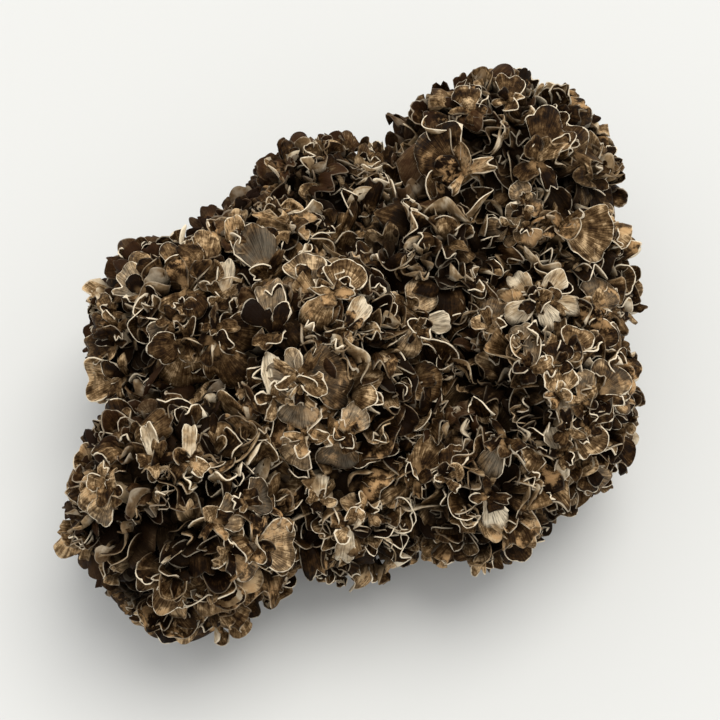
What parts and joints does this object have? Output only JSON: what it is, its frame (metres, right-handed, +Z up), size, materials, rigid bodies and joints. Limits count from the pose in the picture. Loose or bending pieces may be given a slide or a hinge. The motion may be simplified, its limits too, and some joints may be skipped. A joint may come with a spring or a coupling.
{
  "type": "maitake mushroom cluster",
  "caption": "Whole wild maitake mushroom on its cut butt: thick pale branches carry dense heads of overlapping, fan-shaped, wavy brown caps.",
  "frame": {"origin": "centre of the flat cut face of the butt that the mushroom stands on", "axes": "+Z straight up out of the cut face, the shortest extent; +Y away from the viewer of the reference view, +X to the viewer's right"},
  "size_m": [0.3968, 0.4256, 0.1911],
  "materials": {
    "stem_flesh": "matte, pale cream mushroom flesh, slightly fibrous",
    "caps": "dry grey-brown cap skin with darker radial fibres, pale rims and a cream underside"
  },
  "bodies": {
    "root": {"stem_base": "stem_flesh", "head_far_right": "caps", "head_far_middle": "caps", "head_left_far": "caps", "head_left_near": "caps", "head_centre": "caps", "head_right": "caps", "head_mid_right": "caps", "head_near_right": "caps", "head_inner_right": "caps", "head_inner_left": "caps", "head_near_middle": "caps"}
  },
  "joints": []
}
